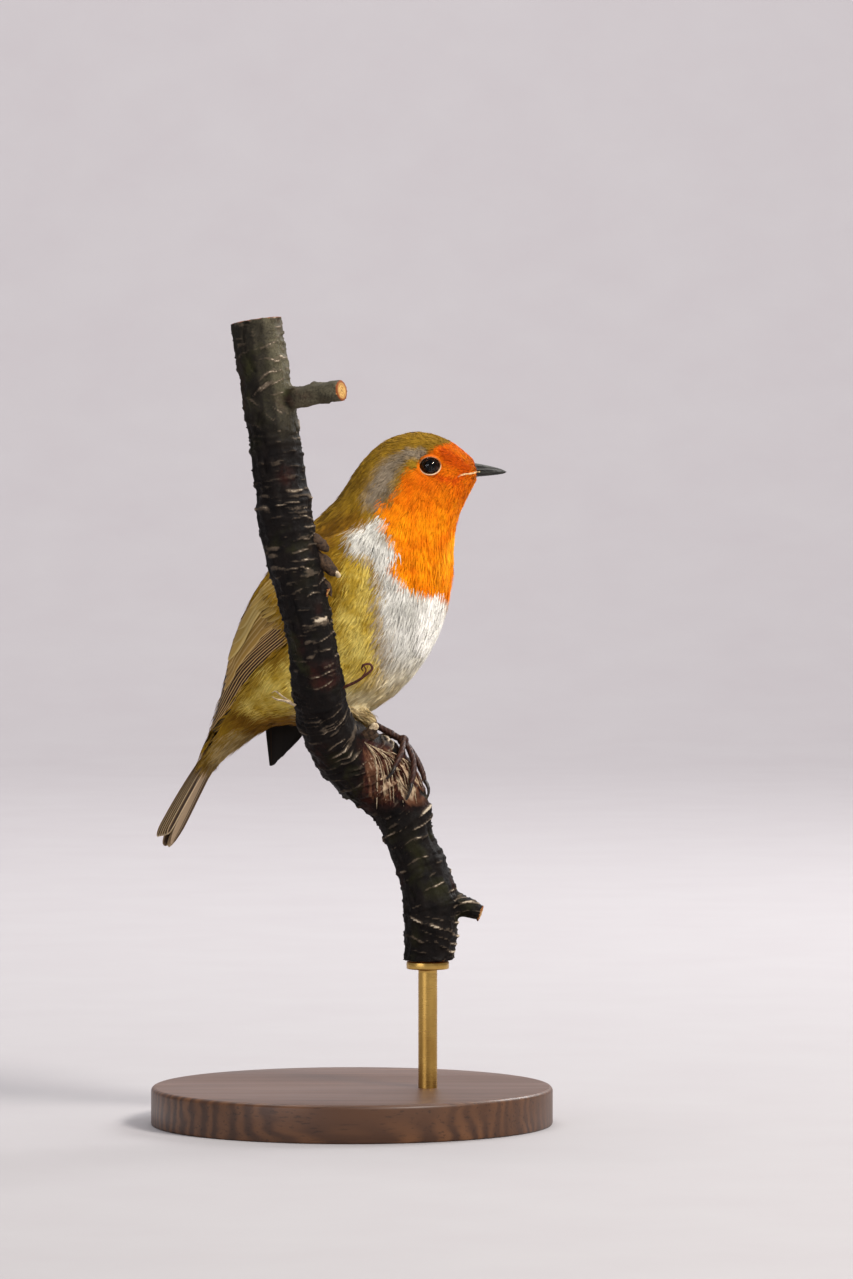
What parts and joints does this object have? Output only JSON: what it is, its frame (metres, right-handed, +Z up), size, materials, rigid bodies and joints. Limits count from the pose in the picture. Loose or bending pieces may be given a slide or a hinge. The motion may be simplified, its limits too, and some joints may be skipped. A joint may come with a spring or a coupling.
{
  "type": "european robin",
  "caption": "Life-size European robin gripping a cut forked branch, head in profile and tail down, held above a flat round display base by a short rod.",
  "frame": {"origin": "on the floor, under the middle of the stand's round base", "axes": "+X the way the bird looks, +Y its left side, +Z up"},
  "size_m": [0.106, 0.106, 0.2131],
  "materials": {
    "plumage": "soft overlapping body feathers, matt with a faint sheen",
    "wing_feathers": "smooth vaned flight feathers and coverts",
    "tail_feathers": "smooth vaned tail feathers",
    "eye": "wet and glossy, nearly black",
    "bill_horn": "smooth horn, satin",
    "leg_scales": "fine dry scales, semi-matt",
    "claw_horn": "smooth horn, satin",
    "bark": "rough dark birch bark with pale peeling edges and raw cut ends",
    "stand_wood": "turned hardwood, satin varnish",
    "stand_brass": "brushed brass"
  },
  "bodies": {
    "root": {"bill_lower": "bill_horn", "bill_upper": "bill_horn", "claw_left_hind": "claw_horn", "claw_left_inner": "claw_horn", "claw_left_middle": "claw_horn", "claw_left_outer": "claw_horn", "claw_right_hind": "claw_horn", "claw_right_inner": "claw_horn", "claw_right_middle": "claw_horn", "claw_right_outer": "claw_horn", "eye_left": "eye", "eye_right": "eye", "foot_left": "leg_scales", "foot_right": "leg_scales", "head": "plumage", "neck": "plumage", "perch_lower": "bark", "perch_upper": "bark", "stand_base": "stand_wood", "stand_rod": "stand_brass", "tail": "tail_feathers", "tarsus_left": "leg_scales", "tarsus_right": "leg_scales", "thigh_left": "plumage", "thigh_right": "plumage", "trunk": "plumage", "wing_left": "wing_feathers", "wing_right": "wing_feathers"}
  },
  "joints": []
}
